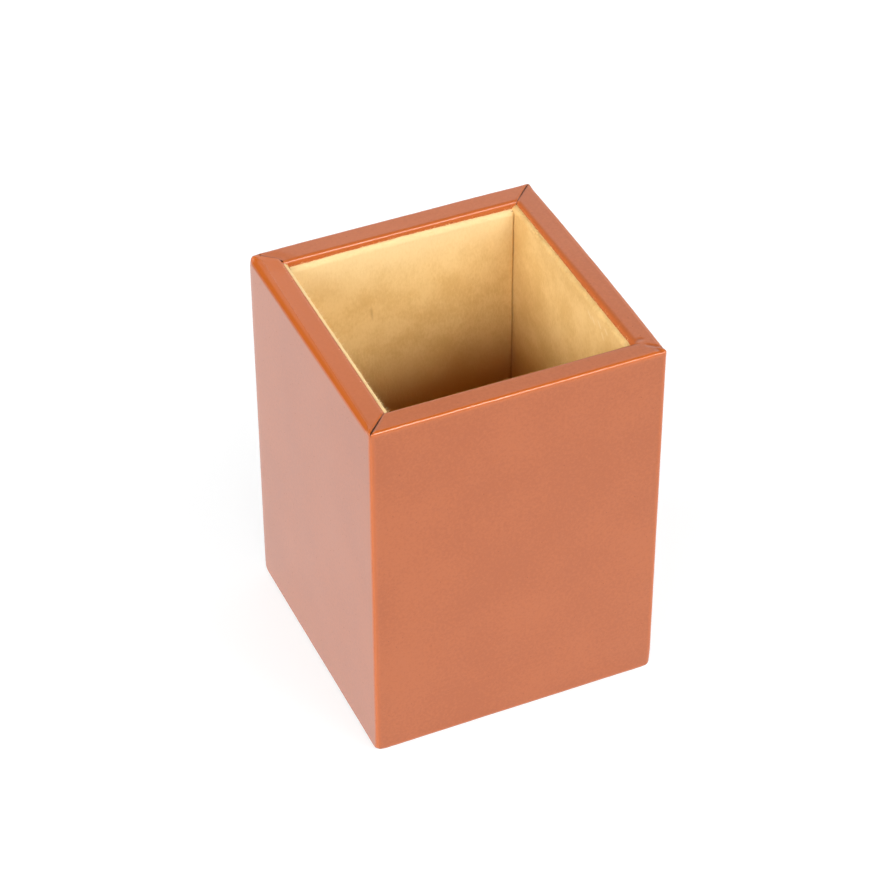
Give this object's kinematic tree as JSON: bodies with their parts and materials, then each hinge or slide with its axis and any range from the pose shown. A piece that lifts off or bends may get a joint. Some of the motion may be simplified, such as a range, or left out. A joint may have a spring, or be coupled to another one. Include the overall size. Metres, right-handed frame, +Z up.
{
  "type": "pen holder",
  "caption": "Square open pen pot: a fibreboard box wrapped in smooth tan leather with mitred rim corners, lined with golden suede panels, on a felt base.",
  "frame": {"origin": "on the table, under the middle of the base", "axes": "+Z up out of the mouth, +X to the right along the front, +Y to the back"},
  "size_m": [0.075, 0.075, 0.101],
  "materials": {
    "leather": "smooth satin tan calf",
    "suede": "napped golden-tan suede, matt",
    "fibreboard": "raw medium-density fibreboard",
    "card": "raw grey lining card",
    "felt": "pressed brown felt, matt"
  },
  "bodies": {
    "root": {"front_board": "fibreboard", "back_board": "fibreboard", "left_board": "fibreboard", "right_board": "fibreboard", "base_board": "fibreboard", "leather_wrap": "leather", "front_lining_card": "card", "back_lining_card": "card", "left_lining_card": "card", "right_lining_card": "card", "front_lining_suede": "suede", "back_lining_suede": "suede", "left_lining_suede": "suede", "right_lining_suede": "suede", "floor_lining_card": "card", "floor_lining_suede": "suede", "base_card": "card", "base_felt": "felt"}
  },
  "joints": []
}
